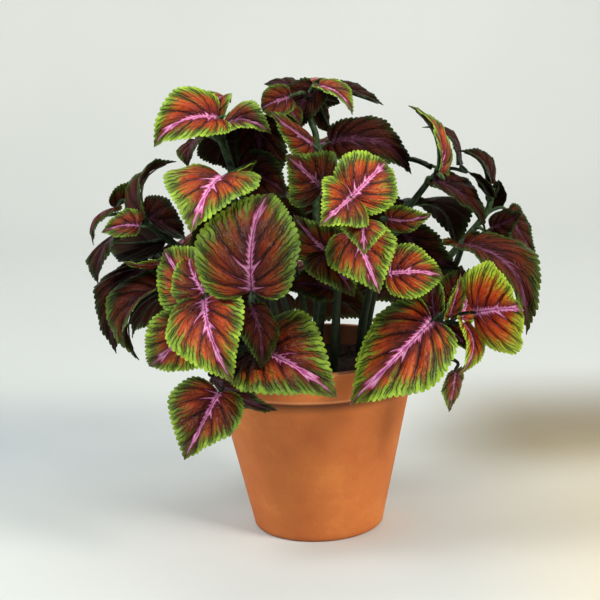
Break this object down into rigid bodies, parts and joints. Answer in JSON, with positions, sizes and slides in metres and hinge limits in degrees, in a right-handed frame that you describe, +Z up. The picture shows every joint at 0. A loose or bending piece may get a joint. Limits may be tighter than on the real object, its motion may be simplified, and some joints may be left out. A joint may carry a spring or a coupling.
{
  "type": "potted coleus plant",
  "caption": "Bushy coleus plant with toothed, pointed leaves on branching stems, standing in the soil of a round terracotta pot with a banded rim.",
  "frame": {"origin": "middle of the underside of the pot's foot, on the surface it stands on", "axes": "+Z up along the pot's axis, -Y towards the viewer of the picture, +X to that viewer's right"},
  "size_m": [0.3308, 0.2942, 0.334],
  "materials": {
    "terracotta": "matte",
    "soil": "matte",
    "leaf": "satin"
  },
  "bodies": {
    "root": {"pot": "terracotta", "soil": "soil", "shoot_top_left": "leaf", "shoot_upper_left": "leaf", "shoot_front_left": "leaf", "shoot_left": "leaf", "shoot_low_left": "leaf", "shoot_top": "leaf", "shoot_upper_front": "leaf", "shoot_middle": "leaf", "shoot_right_front": "leaf", "shoot_low_right": "leaf", "shoot_right": "leaf", "shoot_far_right": "leaf", "shoot_upper_right": "leaf", "shoot_far_left": "leaf", "shoot_outer_left": "leaf", "shoot_back_left": "leaf", "shoot_back_top_left": "leaf", "shoot_back_middle": "leaf", "shoot_back_top_right": "leaf", "shoot_back_right": "leaf"}
  },
  "joints": []
}
